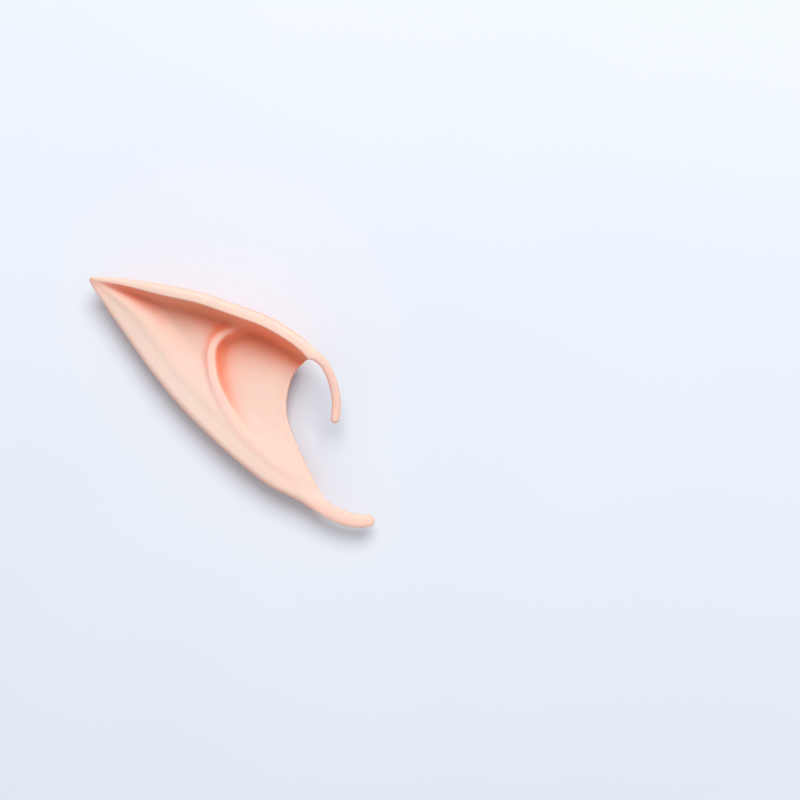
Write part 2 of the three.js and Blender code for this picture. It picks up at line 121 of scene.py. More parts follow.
SECTIONS = table(("edge_x", "edge_y", "rim_x", "rim_y", "top", "floor", "lift", "bowl"), [
    (0.790, 0.664, 0.807, 0.699, 0.92, 0.52, 0.00, 0.30),
    (0.760, 0.655, 0.746, 0.762, 0.96, 0.49, 0.00, 0.60),
    (0.736, 0.634, 0.643, 0.832, 0.99, 0.47, 0.00, 0.90),
    (0.720, 0.607, 0.524, 0.883, 1.00, 0.46, 0.00, 1.00),
    (0.711, 0.584, 0.404, 0.929, 0.96, 0.46, 0.00, 1.00),
    (0.705, 0.561, 0.265, 0.962, 0.86, 0.45, 0.12, 1.00),
    (0.701, 0.541, 0.141, 0.984, 0.70, 0.41, 0.45, 0.92),
    (0.697, 0.519, -0.006, 1.003, 0.50, 0.37, 0.80, 0.85),
    (0.695, 0.496, 0.050, 0.913, 0.48, 0.37, 0.60, 0.72),
    (0.695, 0.472, 0.121, 0.793, 0.47, 0.37, 0.28, 0.60),
    (0.698, 0.438, 0.226, 0.623, 0.47, 0.37, 0.04, 0.42),
    (0.708, 0.399, 0.330, 0.480, 0.48, 0.38, 0.00, 0.26),
    (0.724, 0.350, 0.433, 0.362, 0.49, 0.39, 0.00, 0.12),
    (0.750, 0.284, 0.536, 0.256, 0.49, 0.39, 0.00, 0.03),
    (0.776, 0.223, 0.638, 0.167, 0.48, 0.39, 0.00, 0.00),
    (0.809, 0.152, 0.741, 0.106, 0.46, 0.38, 0.00, 0.00),
    (0.851, 0.097, 0.827, 0.045, 0.43, 0.37, 0.00, 0.00),
])
TIP = 7
LAST = len(SECTIONS["top"]) - 1
print("sections: 0 to", LAST, "of which the tip is number", TIP)

# %% [markdown]
# The inner ridge and the straps have short tables of their own, because they don't keep to the
# ribs: a middle line, and how high the ridge, or how wide and low the strap, is at each row.

# %% The ridge's line and the straps' middle lines
RIDGE = table(("x", "y", "raise"), [
    (0.700, 0.772, 0.00),
    (0.635, 0.800, 0.20),
    (0.573, 0.806, 0.70),
    (0.518, 0.789, 1.00),
    (0.467, 0.755, 1.00),
    (0.443, 0.706, 1.00),
    (0.441, 0.650, 1.00),
    (0.451, 0.585, 1.00),
    (0.475, 0.515, 0.90),
    (0.518, 0.430, 0.72),
    (0.572, 0.343, 0.55),
    (0.642, 0.248, 0.35),
    (0.761, 0.126, 0.00),
])
STRAP_NAMES = ("x", "y", "width", "drop")
UPPER_STRAP = table(STRAP_NAMES, [
    (0.825, 0.656, 1.02, 0.12),
    (0.845, 0.617, 0.95, 0.32),
    (0.861, 0.568, 0.97, 0.55),
    (0.870, 0.505, 1.00, 0.78),
    (0.868, 0.458, 0.98, 0.92),
    (0.862, 0.417, 0.92, 1.00),
])
LOWER_STRAP = table(STRAP_NAMES, [
    (0.883, 0.046, 1.03, 0.04),
    (0.917, 0.034, 1.00, 0.08),
    (0.950, 0.028, 0.96, 0.12),
    (0.982, 0.030, 0.86, 0.16),
    (1.000, 0.035, 0.80, 0.18),
])
RIDGE_END = len(RIDGE["x"]) - 1
print("rows of the ridge:", RIDGE_END + 1, "and of the straps:", len(UPPER_STRAP["x"]), "and",
      len(LOWER_STRAP["x"]))

# %% [markdown]
# ## Smooth lines through the rows
# A rib between two rows is read from a Catmull-Rom spline through the table. The outline turns
# a sharp corner at the tip, so the upper and the lower rim are read as two lines.

# %% Reading the tables between their rows
def smooth(start, end, value):
    f = np.clip((value - start) / (end - start), 0.0, 1.0)
    return f * f * (3 - 2 * f)


def mix(a, b, share):
    return a + (b - a) * share


def spline(values, t):
    last = len(values) - 1
    i = np.clip(np.floor(t).astype(int), 0, last - 1)
    f = t - i
    a, b = values[np.maximum(i - 1, 0)], values[i]
    c, d = values[i + 1], values[np.minimum(i + 2, last)]
    slope_b, slope_c = (c - a) / 2, (d - b) / 2
    f2, f3 = f * f, f * f * f
    start = b * (2 * f3 - 3 * f2 + 1) + slope_b * (f3 - 2 * f2 + f)
    return start + c * (3 * f2 - 2 * f3) + slope_c * (f3 - f2)


def column(name, t):
    return spline(SECTIONS[name], np.asarray(t, float))


def rim_column(name, t):
    values = SECTIONS[name]
    t = np.asarray(t, float)
    upper = spline(values[:TIP + 1], np.minimum(t, TIP))
    lower = spline(values[TIP:], np.maximum(t, TIP) - TIP)
    return np.where(t <= TIP, upper, lower)


def rim_points(t):
    return rim_column("rim_x", t) * SPAN_X, rim_column("rim_y", t) * SPAN_Y


def edge_points(t):
    return column("edge_x", t) * SPAN_X, column("edge_y", t) * SPAN_Y


def ridge_points(t):
    return spline(RIDGE["x"], t) * SPAN_X, spline(RIDGE["y"], t) * SPAN_Y


print("tip corner at", [round(float(v), 1) for v in rim_points(TIP)], "mm")

# %% [markdown]
# ## Distance from a line
# Rolled rims keep their width all along the outline. That is easy when the height depends on
# the distance from the outline itself, and not on how far along a rib a point lies. This
# helper finds, for many points at once, how far the nearest point of a line is, which section
# is there, and on which side of the line the point lies. Far from a bent line the nearest point
# can jump from one part of it to another, which would leave a crease in the bowl. So from 8 to
# 16 mm out the section changes over to an average of all the line's sections, the near ones
# counting most.

# %% A line's distance field
def sampled(points, start, end, per_section=26):
    t = np.linspace(start, end, int((end - start) * per_section) + 1)
    x, y = points(t)
    return x, y, t


AVERAGED_FROM, AVERAGED_AT = 8.0, 16.0
NEARNESS_POWER = 3


def nearest(line, x, y, chunk=6000):
    """Distance, section and side, for each point, of the nearest point of the line."""
    lx, ly, lt = line
    dx, dy = np.diff(lx), np.diff(ly)
    squared_length = dx * dx + dy * dy
    shape = x.shape
    x, y = x.ravel(), y.ravel()
    distance, section, side = np.empty(x.size), np.empty(x.size), np.empty(x.size)
    for first in range(0, x.size, chunk):
        part = slice(first, first + chunk)
        px, py = x[part, None], y[part, None]
        along = np.clip(((px - lx[:-1]) * dx + (py - ly[:-1]) * dy) / squared_length, 0, 1)
        gap_x, gap_y = px - (lx[:-1] + along * dx), py - (ly[:-1] + along * dy)
        squared = gap_x * gap_x + gap_y * gap_y
        best = squared.argmin(axis=1)
        row = np.arange(best.size)
        distance[part] = np.sqrt(squared[row, best])
        pull = np.sqrt(squared_length) / (squared + 1e-6) ** NEARNESS_POWER
        around = (pull * mix(lt[:-1], lt[1:], along)).sum(axis=1) / pull.sum(axis=1)
        at_foot = mix(lt[best], lt[best + 1], along[row, best])
        far = smooth(AVERAGED_FROM, AVERAGED_AT, distance[part])
        section[part] = mix(at_foot, around, far)
        side[part] = np.sign(gap_x[row, best] * dy[best] - gap_y[row, best] * dx[best])
    return distance.reshape(shape), section.reshape(shape), side.reshape(shape)


upper_rim = sampled(rim_points, 0, TIP)
lower_rim = sampled(rim_points, TIP, LAST)
free_edge = sampled(edge_points, 0, LAST)
ridge_line = sampled(ridge_points, 0, RIDGE_END)
print("upper rim", len(upper_rim[0]), "points, lower rim", len(lower_rim[0]))

# %% [markdown]
# ## What each point of the plan knows
# Near the tip both rims are close, and their heights and distances melt into one another.
# Further back the nearer rim wins.

# %% The plan of the ear
SIZE_AT_TIP = 0.4
GROWN_AFTER = 2.6
NEVER_ZERO = 1e-9


def growth(t):
    """How fully grown the rims are: small at the tip, whole a few sections away."""
    return mix(SIZE_AT_TIP, 1.0, smooth(0, GROWN_AFTER, np.abs(t - TIP)))


def root_middle(t):
    ex, ey = edge_points(t)
    rx, ry = rim_points(t)
    return (ex + rx) / 2, (ey + ry) / 2


UPPER_ROOT = root_middle(0)
LOWER_ROOT = root_middle(LAST)


def climb(x, y):
    """How far the back rises towards the root of each strap."""
    near_upper = 1 - smooth(0, ROOT_REACH, np.hypot(x - UPPER_ROOT[0], y - UPPER_ROOT[1]))
    near_lower = 1 - smooth(0, ROOT_REACH, np.hypot(x - LOWER_ROOT[0], y - LOWER_ROOT[1]))
    return UPPER_ROOT_LIFT * near_upper + LOWER_ROOT_LIFT * near_lower


def plan(x, y):
    """Distances from both rims, and the sizes there, mixed by which rim is nearer."""
    upper, upper_t, _ = nearest(upper_rim, x, y)
    lower, lower_t, _ = nearest(lower_rim, x, y)
    share = (lower**2 + NEVER_ZERO) / (upper**2 + lower**2 + 2 * NEVER_ZERO)

    def blend(name):
        return mix(column(name, lower_t), column(name, upper_t), share)

    both = (upper + TIP_SOFTNESS) ** -TIP_BLEND_POWER + (lower + TIP_SOFTNESS) ** -TIP_BLEND_POWER
    softened = both ** (-1 / TIP_BLEND_POWER)
    size = mix(growth(lower_t), growth(upper_t), share)
    return {
        "x": x, "y": y, "upper": upper, "lower": lower,
        "upper_size": growth(upper_t), "lower_size": growth(lower_t),
        "inset": softened - TIP_SOFTNESS,
        "crest": blend("top") * RIM_HEIGHT,
        "floor": blend("floor") * RIM_HEIGHT,
        "bowl": blend("bowl") * BOWL_DEPTH,
        "underside": blend("lift") * TIP_LIFT + climb(x, y),
        "roll": ROLL_RADIUS * size,
        "shoulder": mix(LOWER_SHOULDER, UPPER_SHOULDER, share) * size,
    }


print("upper strap's root at", [round(float(v), 1) for v in UPPER_ROOT], "mm")
print("lower strap's root at", [round(float(v), 1) for v in LOWER_ROOT], "mm")

# %% [markdown]
# ## The front
# From the outline in: a rounded edge, the flat top of the rim, and then a fall, steep under
# the upper rim and long and gentle inside the lower one. The inner ridge is a low crown with a
# flat top along its own line, and the bowl is a step down on its far side. Near the free edge
# the skin turns down a little.

# %% Height of the front
CROWN_WIDTH = 0.8
FURROW_DEPTH, FURROW_PLACE, FURROW_WIDTH = 0.25, -1.5, 0.5


def upper_share(distance, size):
    """One on the upper band, then a rounded brink and a steep fall that levels out."""
    u = np.clip((distance / size - UPPER_BAND) / UPPER_SLOPE, 0, 1)
    whole = math.hypot(1, UPPER_BRINK) - UPPER_BRINK
    return (1 - (np.hypot(u, UPPER_BRINK) - UPPER_BRINK) / whole) ** UPPER_HOLLOW


def lower_share(distance, size):
    """One on the lower band, then a long gentle slope."""
    return 1 - smooth(LOWER_BAND, LOWER_BAND + LOWER_SLOPE, distance / size)


def rim_shares(at, shift):
    """How much a point belongs to a rim, with both rims taken shift millimetres narrower."""
    upper = upper_share(at["upper"] + shift, at["upper_size"])
    lower = lower_share(at["lower"] + shift, at["lower_size"])
    return 1 - (1 - upper) * (1 - lower)


def hump(distance, place, width):
    return np.exp(-((distance - place) / width) ** 2)


def groove(at):
    """The shallow line that runs inside the lower rim."""
    place = hump(at["lower"] / at["lower_size"], GROOVE_PLACE, GROOVE_WIDTH)
    return GROOVE_DEPTH * place * smooth(0, GROOVE_FADE, at["upper"] - at["lower"])


def ridge_and_bowl(at, rims):
    """The ridge with a furrow along its outer side, and the step down into the bowl."""
    distance, t, side = nearest(ridge_line, at["x"], at["y"])
    inward = -side * distance
    across = distance / RIDGE_HALF_WIDTH
    furrow = FURROW_DEPTH * hump(inward / RIDGE_HALF_WIDTH, FURROW_PLACE, FURROW_WIDTH)
    crown = hump(across**2, 0, CROWN_WIDTH) - furrow
    step = smooth(BOWL_START, BOWL_START + BOWL_STEP, inward)
    swell = SWELL_HEIGHT * hump(distance, 0, SWELL_WIDTH) * (1 - step)
    raised = (RIDGE_HEIGHT * crown + swell) * spline(RIDGE["raise"], t)
    return (raised - at["bowl"] * step) * (1 - rims)


def edge_fall(at):
    """How far the skin turns down near the free edge."""
    return EDGE_DROP * (1 - smooth(0, EDGE_ZONE, nearest(free_edge, at["x"], at["y"])[0]))


def front_height(x, y):
    at = plan(x, y)
    rims = rim_shares(at, 0)
    inward = np.clip(at["roll"] - np.maximum(at["inset"], 0), 0, None)
    rounding = at["roll"] - np.sqrt(at["roll"] ** 2 - inward**2)
    body = at["floor"] + (at["crest"] - at["floor"]) * rims
    return body + ridge_and_bowl(at, rims) - groove(at) - rounding - edge_fall(at)


middle_of_ridge = ridge_points(np.array([RIDGE_END / 2]))
print("ridge:", round(float(front_height(*middle_of_ridge)[0]), 1), "mm above the sheet")

# %% [markdown]
# ## The back and the pocket
# The back rounds under from the outline like a quarter of an ellipse and then lies flat. The
# pocket's roof follows the front a wall's thickness below it, without the smallest relief,
# because liquid latex pools in narrow folds.

# %% Heights of the back and of the pocket
ROOF_STEP_PART = 3


def back_shape(at, distance):
    """A quarter of an ellipse from the outline down to the flat underside."""
    width = at["shoulder"]
    out = np.clip(1 - distance / width, 0, 1)
    side = at["crest"] - at["roll"] - at["underside"]
    return at["underside"] + side * (1 - np.sqrt(1 - out * out))


def back_height(x, y):
    at = plan(x, y)
    return back_shape(at, np.maximum(at["inset"], 0))


def pocket_roof(x, y):
    at = plan(x, y)
    rims = rim_shares(at, WALL)
    distance, _, side = nearest(ridge_line, x, y)
    step = smooth(-BOWL_STEP, BOWL_STEP / ROOF_STEP_PART, -side * distance)
    bowl = at["bowl"] * step * (1 - rims)
    return at["floor"] + (at["crest"] - at["floor"]) * rims - bowl - edge_fall(at) - WALL


def pocket_floor(x, y):
    at = plan(x, y)
    return back_shape(at, np.maximum(at["inset"] - WALL, 0)) + WALL


room = pocket_roof(*middle_of_ridge) - pocket_floor(*middle_of_ridge)
print("pocket under the ridge:", round(float(room[0]), 1), "mm high")

# %% [markdown]
# ## Stops along each rib
# A mesh looks smooth where its lines follow the form. So the rows near the outline run
# parallel to it, close together on the rounded edge, and only the rows in the open middle are
# spaced evenly. Each rib is first sampled finely, and the stops are read off that.

# %% Ribs and the places along them
BODY_STEPS = 12
TIP_CROWDING = 1.25
RIB_SAMPLES = 321
RIDGE_FINENESS = 2.5
RIDGE_ZONE = 4.0


def stations():
    """Where the ribs stand, in sections, closer together on both sides of the tip."""
    t = [0.0]
    for i in range(LAST):
        even = np.arange(1, BODY_STEPS + 1) / BODY_STEPS
        if i + 1 == TIP:
            even = 1 - (1 - even) ** TIP_CROWDING
        if i == TIP:
            even = even**TIP_CROWDING
        t.extend(i + even)
    return np.array(t)


def ribs(t):
    """The ribs with what is read off them: insets, pocket heights, and weight for spacing."""
    ex, ey = edge_points(t)
    rx, ry = rim_points(t)
    length = np.hypot(rx - ex, ry - ey)
    s = length[:, None] * np.linspace(0, 1, RIB_SAMPLES)[None, :]
    x = ex[:, None] + (rx - ex)[:, None] * s / length[:, None]
    y = ey[:, None] + (ry - ey)[:, None] * s / length[:, None]
    inset = plan(x, y)["inset"]
    ridge_distance = nearest(ridge_line, x, y)[0]
    weight = 1 + RIDGE_FINENESS * hump(ridge_distance, 0, RIDGE_ZONE)
    return {
        "weight": np.cumsum(weight, axis=1),
        "t": t, "ex": ex, "ey": ey, "rx": rx, "ry": ry, "length": length, "s": s,
        "inset": np.maximum.accumulate(inset[:, ::-1], axis=1)[:, ::-1],
        "gap": pocket_roof(x, y) - pocket_floor(x, y),
    }


def reach(rib, levels):
    """Where on each rib the inset has these values."""
    rows = [np.interp(level, inset[::-1], s[::-1])
            for level, inset, s in zip(levels, rib["inset"], rib["s"])]
    return np.array(rows)


def at_stop(rib, s):
    share = s / rib["length"][:, None]
    x = mix(rib["ex"][:, None], rib["rx"][:, None], share)
    y = mix(rib["ey"][:, None], rib["ry"][:, None], share)
    return x, y, share


all_ribs = ribs(stations())
print("ribs:", len(all_ribs["t"]), "longest", round(float(all_ribs["length"].max()), 1), "mm")

# %% [markdown]
# ## Where the pocket ends
# Walking in from the mouth, the pocket stops where its roof and its floor come close. Out at
# the tip and in both straps they never part, so those stay solid, as they do in the casting.
# Beside the root of the upper strap it also keeps clear of the rim's steep fall, and only
# further along does it reach in under the rim.

# %% The mouth and the end of the pocket
CLEAR_UNTIL = 2.0
UNDER_RIM_FROM = 4.5
SET_BACK_AFTER = 3.0
LONGEST_SETBACK = 0.4
DEEPEST_FOOT = 0.62


def foot_of_wall(rib):
    """How far in the upper rim's fall ends, or a share of the rib's depth if that is less."""
    foot = (UPPER_BAND + UPPER_SLOPE) * growth(rib["t"])
    return np.minimum(foot, DEEPEST_FOOT * rib["inset"][:, 0])


def mouth_and_end(rib):
    """How far in from the free edge the back skin starts and the pocket ends, for each rib."""
    from_root = np.minimum(rib["t"], LAST - rib["t"])
    setback = BACK_SETBACK * smooth(0, SET_BACK_AFTER, from_root)
    mouth = np.minimum(setback, LONGEST_SETBACK * rib["length"])
    start = mouth + WALL
    closed = (rib["gap"] < CLOSED_GAP) & (rib["s"] > start[:, None])
    first = np.where(closed.any(axis=1), closed.argmax(axis=1), RIB_SAMPLES - 1)
    row = np.arange(len(first))
    before = np.maximum(first - 1, 0)
    gap_a, gap_b = rib["gap"][row, before], rib["gap"][row, first]
    share = np.clip((gap_a - CLOSED_GAP) / np.maximum(gap_a - gap_b, 1e-6), 0, 1)
    end = mix(rib["s"][row, before], rib["s"][row, first], share)
    clear = foot_of_wall(rib) * (1 - smooth(CLEAR_UNTIL, UNDER_RIM_FROM, rib["t"]))
    end = np.minimum(end, reach(rib, clear[:, None])[:, 0])
    return mouth, np.maximum(end, start)


mouth, pocket_end = mouth_and_end(all_ribs)
print("pocket reaches", round(float(pocket_end.max()), 1), "mm in from the free edge")

# %% [markdown]
# ## One closed loop for each rib
# Going once round the skin: along the front to the outline, back along the underside to the
# mouth, over the back skin's rounded edge, into the pocket and out again, and over the front
# skin's rounded edge. Laid side by side, these loops make the whole ear in one piece.

# %% Loops of the skin
FRONT_OPEN, FRONT_COLLAR = 84, 56
BACK_SHOULDER, BACK_OPEN = 36, 22
POCKET_ROWS = 26
EDGE_POINTS = 5
COLLAR_EXTRA = 1.5
COLLAR_CROWDING, SHOULDER_CROWDING = 1.5, 2
POCKET_CROWDING = 0.8
WIDEST_SHOULDER = 0.8
LOWER_COLLAR_PART = 5


def between(start, end, count, power=1.0):
    """Columns of stops from start to end, without the first and with the last."""
    f = (np.arange(1, count + 1) / count) ** power
    return start[:, None] + (end - start)[:, None] * f[None, :]


def by_weight(rib, start, end, count):
    """Stops from start to end that stand closer together where the ribs carry more weight."""
    rows = []
    for s, weight, a, b in zip(rib["s"], rib["weight"], start, end):
        levels = np.linspace(np.interp(a, s, weight), np.interp(b, s, weight), count + 1)
        rows.append(np.interp(levels[1:-1], weight, s))
    return np.array(rows)


def front_rows(rib):
    """Stops along the front: spread out in the open middle, crowded towards the outline."""
    size = growth(rib["t"])
    on_lower = smooth(-1, 1, rib["t"] - TIP)
    rim_width = mix(UPPER_BAND + UPPER_SLOPE, LOWER_BAND + LOWER_SLOPE / LOWER_COLLAR_PART, on_lower)
    foot = size * rim_width + COLLAR_EXTRA * size
    foot = np.minimum(foot, DEEPEST_FOOT * rib["inset"][:, 0])
    fall = (1 - np.arange(FRONT_COLLAR) / FRONT_COLLAR) ** COLLAR_CROWDING
    collar = reach(rib, foot[:, None] * fall[None, :])
    start = np.full(len(rib["t"]), WALL / 2)
    return np.column_stack([start, by_weight(rib, start, collar[:, 0], FRONT_OPEN), collar])


def back_rows(rib, mouth):
    """Stops along the back, from the outline over the shoulder to the mouth."""
    width = UPPER_SHOULDER * growth(rib["t"])
    depth = np.array([np.interp(m, s, inset) for m, s, inset in zip(mouth, rib["s"], rib["inset"])])
    width = np.minimum(width, WIDEST_SHOULDER * depth)
    rise = (np.arange(1, BACK_SHOULDER + 1) / BACK_SHOULDER) ** SHOULDER_CROWDING
    shoulder = reach(rib, width[:, None] * rise[None, :])
    return np.column_stack([shoulder, between(shoulder[:, -1], mouth + WALL / 2, BACK_OPEN)])


def pocket_rows(rib, mouth, end):
    start = mouth + WALL / 2
    return np.column_stack([start, between(start, end, POCKET_ROWS, POCKET_CROWDING)])


def edge_arc(rib, stop, upper, lower):
    """Rounded edge of a skin, from height upper to height lower round its end at stop."""
    angle = np.arange(1, EDGE_POINTS + 1) / (EDGE_POINTS + 1) * math.pi
    s = (stop + WALL / 2)[:, None] - WALL / 2 * np.sin(angle)[None, :]
    z = ((upper + lower) / 2)[:, None] + ((upper - lower) / 2)[:, None] * np.cos(angle)[None, :]
    x, y, share = at_stop(rib, s)
    return np.stack([x, y, z], axis=2), share


def surface(rib, s, height):
    """Points at these stops with their heights, and the stops' shares of the rib."""
    x, y, share = at_stop(rib, s)
    return np.stack([x, y, height(x, y)], axis=2), share


def skin_loops(rib, mouth, end):
    zero = np.zeros(len(rib["t"]))
    front = surface(rib, front_rows(rib), front_height)
    turn = surface(rib, reach(rib, np.zeros((len(rib["t"]), 1))), back_height)
    back = surface(rib, back_rows(rib, mouth), back_height)
    inside = surface(rib, pocket_rows(rib, mouth, end), pocket_floor)
    outside = surface(rib, pocket_rows(rib, zero, end)[:, -2::-1], pocket_roof)
    back_edge = edge_arc(rib, mouth, back[0][:, -1, 2], inside[0][:, 0, 2])
    front_edge = edge_arc(rib, zero, outside[0][:, -1, 2], front[0][:, 0, 2])
    parts = [front, turn, back, back_edge, inside, outside, front_edge]
    counts = {"front": front[0].shape[1], "back": sum(p[0].shape[1] for p in parts[:3])}
    loops = np.concatenate([p[0] for p in parts], axis=1)
    return loops, np.concatenate([p[1] for p in parts], axis=1), counts


skin, skin_share, counts = skin_loops(all_ribs, mouth, pocket_end)
print("loop:", skin.shape[1], "points, of them", counts["front"], "on the front")

# %% [markdown]
# ## Straps
# Each strap is a soft oval strip. It has as many points round it as the skin's loops, so the
# last ribs of the ear can be blended into it, and the pocket's points simply lie together on
# the side that faces the free edge. That gives a flowing root with no seam, which a strip
# stuck on with a boolean would not have. Over the first three tenths of its length a strap
# turns from the way its rib runs to square across its own line.

# %% Ovals for the straps
SEAM = 0.22 * math.pi
STRAP_STATIONS, CAP_STATIONS = 26, 9
CAP_SHORTFALL = 0.25
LINE_SAMPLES = 400
TURN_SHARE = 0.3
BLEND_SECTIONS = 1.3


def oval(inner, outer, middle, thickness, share, counts):
    """Ovals between inner and outer plan points, one row for each pair."""
    index = np.arange(share.shape[1])
    angle = np.clip(np.arccos(np.clip(1 - 2 * share, -1, 1)), SEAM, math.pi)
    angle = np.where(index >= counts["front"], 2 * math.pi - angle, angle)
    hidden = share.shape[1] - counts["back"]
    seam = mix(-SEAM, SEAM, (index - counts["back"] + 1) / (hidden + 1))
    angle = np.where(index >= counts["back"], seam, angle)
    across = (1 - np.cos(angle)) / 2
    x = mix(inner[0][:, None], outer[0][:, None], across)
    y = mix(inner[1][:, None], outer[1][:, None], across)
    z = np.asarray(middle)[:, None] + np.asarray(thickness)[:, None] / 2 * np.sin(angle)
    return np.stack([x, y, z], axis=2)


def strap_height(t):
    return column("top", t) * RIM_HEIGHT - STRAP_THICKNESS / 2


def body_loops(rib):
    """The skin's loops, blended into the straps' ovals near both roots."""
    share = smooth(0, BLEND_SECTIONS, np.minimum(rib["t"], LAST - rib["t"]))
    thickness = np.full(len(share), STRAP_THICKNESS)
    edge, rim = (rib["ex"], rib["ey"]), (rib["rx"], rib["ry"])
    ovals = oval(edge, rim, strap_height(rib["t"]), thickness, skin_share, counts)
    return mix(ovals, skin, share[:, None, None])


def strap_line(strap, width, root):
    """A fine middle line with its parameter, the distance run along it, and the row widths."""
    start = np.array([*root_middle(root), strap_height(root)])
    height = start[2] - strap["drop"] * STRAP_DROP
    rows = np.vstack([start, np.column_stack([strap["x"] * SPAN_X, strap["y"] * SPAN_Y, height])])
    station = 0 if root == 0 else -1
    widths = np.append(all_ribs["length"][station], strap["width"] * width)
    t = np.linspace(0, len(rows) - 1, LINE_SAMPLES)
    line = np.column_stack([spline(rows[:, k], t) for k in range(3)])
    run = np.append(0, np.cumsum(np.linalg.norm(np.diff(line, axis=0), axis=1)))
    return line, t, run, widths


def strap_stops(length, cap):
    """Stops along a strap, crowded in its round end, and how wide it still is at each."""
    body = np.linspace(0, length - cap, STRAP_STATIONS + 1)[1:]
    bend = np.sin(np.arange(1, CAP_STATIONS + 1) / (CAP_STATIONS + CAP_SHORTFALL) * math.pi / 2)
    stops = np.append(body, length - cap + cap * bend)
    return stops, np.sqrt(1 - (np.clip(stops - (length - cap), 0, None) / cap) ** 2)


def unit(rows):
    return rows / np.linalg.norm(rows, axis=-1, keepdims=True)


def strap_loops(strap, width, root, outward):
    """Ovals along a strap, from its root to its round end."""
    line, t, run, widths = strap_line(strap, width, root)
    stops, fade = strap_stops(run[-1], widths[-1] / 2)
    at = np.interp(stops, run, t)
    middle = np.column_stack([np.interp(stops, run, line[:, k]) for k in range(3)])
    tangent = np.column_stack([np.interp(at, t, np.gradient(line[:, k], t)) for k in range(2)])
    normal = unit(outward * np.column_stack([-tangent[:, 1], tangent[:, 0]]))
    station = 0 if root == 0 else -1
    rib_way = unit(np.array([all_ribs["rx"][station] - all_ribs["ex"][station],
                             all_ribs["ry"][station] - all_ribs["ey"][station]]))
    turned = smooth(0, TURN_SHARE, stops / run[-1])[:, None]
    way = unit(mix(rib_way, normal, turned))
    half = (spline(widths, at) * fade / 2)[:, None]
    inner, outer = (middle[:, :2] - way * half).T, (middle[:, :2] + way * half).T
    share = np.repeat(skin_share[station][None, :], len(stops), axis=0)
    return oval(inner, outer, middle[:, 2], STRAP_THICKNESS * fade, share, counts)


upper_strap = strap_loops(UPPER_STRAP, UPPER_STRAP_WIDTH, 0, 1)
lower_strap = strap_loops(LOWER_STRAP, LOWER_STRAP_WIDTH, LAST, -1)
loops = np.concatenate([upper_strap[::-1], body_loops(all_ribs), lower_strap])
print("loops:", loops.shape[0], "of", loops.shape[1], "points")

# %% [markdown]
# ## The ear's mesh
# The loops are joined by four-sided faces, and a fan closes each strap's end. The mesh is then
# set down where the frame has the ear, and the frame's plain node is hidden behind it.

# %% Loops to a mesh
def lofted(name, loops):
    """A closed mesh over the loops, with a fan of triangles at each end."""
    count, size = loops.shape[:2]
    index = np.arange(count * size).reshape(count, size)
    a, b = index[:-1], np.roll(index[:-1], -1, axis=1)
    c, d = index[1:], np.roll(index[1:], -1, axis=1)
    quads = np.stack([a, b, d, c], axis=2).reshape(-1, 4).tolist()
    ends = loops[[0, -1]].mean(axis=1)
    points = np.vstack([loops.reshape(-1, 3), ends])
    first, last = index[0], index[-1]
    hubs = (count * size, count * size + 1)
    quads += [(int(q), int(p), hubs[0]) for p, q in zip(first, np.roll(first, -1))]
    quads += [(int(p), int(q), hubs[1]) for p, q in zip(last, np.roll(last, -1))]
    mesh = bpy.data.meshes.new(name)
    mesh.from_pydata((points * MM).tolist(), [], quads)
    mesh.validate()
    mesh.shade_smooth()
    return mesh


def settle(mesh, low, high):
    """Moves the mesh so that its box is centred on the frame's and stands on the same floor."""
    co = np.empty(len(mesh.vertices) * 3)
    mesh.vertices.foreach_get("co", co)
    co = co.reshape(-1, 3)
    middle = (co.min(axis=0) + co.max(axis=0)) / 2
    co[:, 0] += (low.x + high.x) / 2 - middle[0]
    co[:, 1] += (low.y + high.y) / 2 - middle[1]
    co[:, 2] += low.z - co[:, 2].min()
    mesh.vertices.foreach_set("co", co.ravel())
    mesh.update()


ear_mesh = lofted("latex_ear", loops)
settle(ear_mesh, low, high)
ear = bpy.data.objects.new("latex_ear", ear_mesh)
bpy.context.scene.collection.objects.link(ear)
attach(ear, "root")
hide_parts("ear_tip")
print("ear mesh:", len(ear_mesh.vertices), "points,", len(ear_mesh.polygons), "faces")

# %% [markdown]
# ## Latex
# Cast latex is matt and a little waxy. Light goes a millimetre or two into it and comes out
# redder, and the shader has that scattering and fine bumps from the plaster mould. Shade is
# also painted into the colour: it goes from a pale open tone to a warm, dark painted shade
# where less of the sky straight above is seen from the surface, in the folds and on the wall
# under the upper rim, and both tones drift a little from place to place. A colour painted by
# position would fit one shape only. This painted shade follows any change of the shape,
# because it is measured on it. Surfaces that face away from the rest of the ear keep most of
# the open tone and take only a little of the painted shade.

# %% Nodes for the latex, with its painted shade
def add(tree, kind, **settings):
    node = tree.nodes.new(kind)
    for key, value in settings.items():
        setattr(node, key, value)
    return node


def noise(tree, coordinates, scale, detail=3.0, roughness=0.5):
    node = add(tree, "ShaderNodeTexNoise")
    node.inputs["Scale"].default_value = scale
    node.inputs["Detail"].default_value = detail
    node.inputs["Roughness"].default_value = roughness
    tree.links.new(coordinates, node.inputs["Vector"])
    return node.outputs["Fac"]


def ramp(tree, value, stops):
    node = add(tree, "ShaderNodeValToRGB")
    elements = node.color_ramp.elements
    while len(elements) < len(stops):
        elements.new(0.5)
    for element, (place, colour) in zip(elements, stops):
        element.position = place
        element.color = (*colour, 1)
    tree.links.new(value, node.inputs["Fac"])
    return node.outputs["Color"]
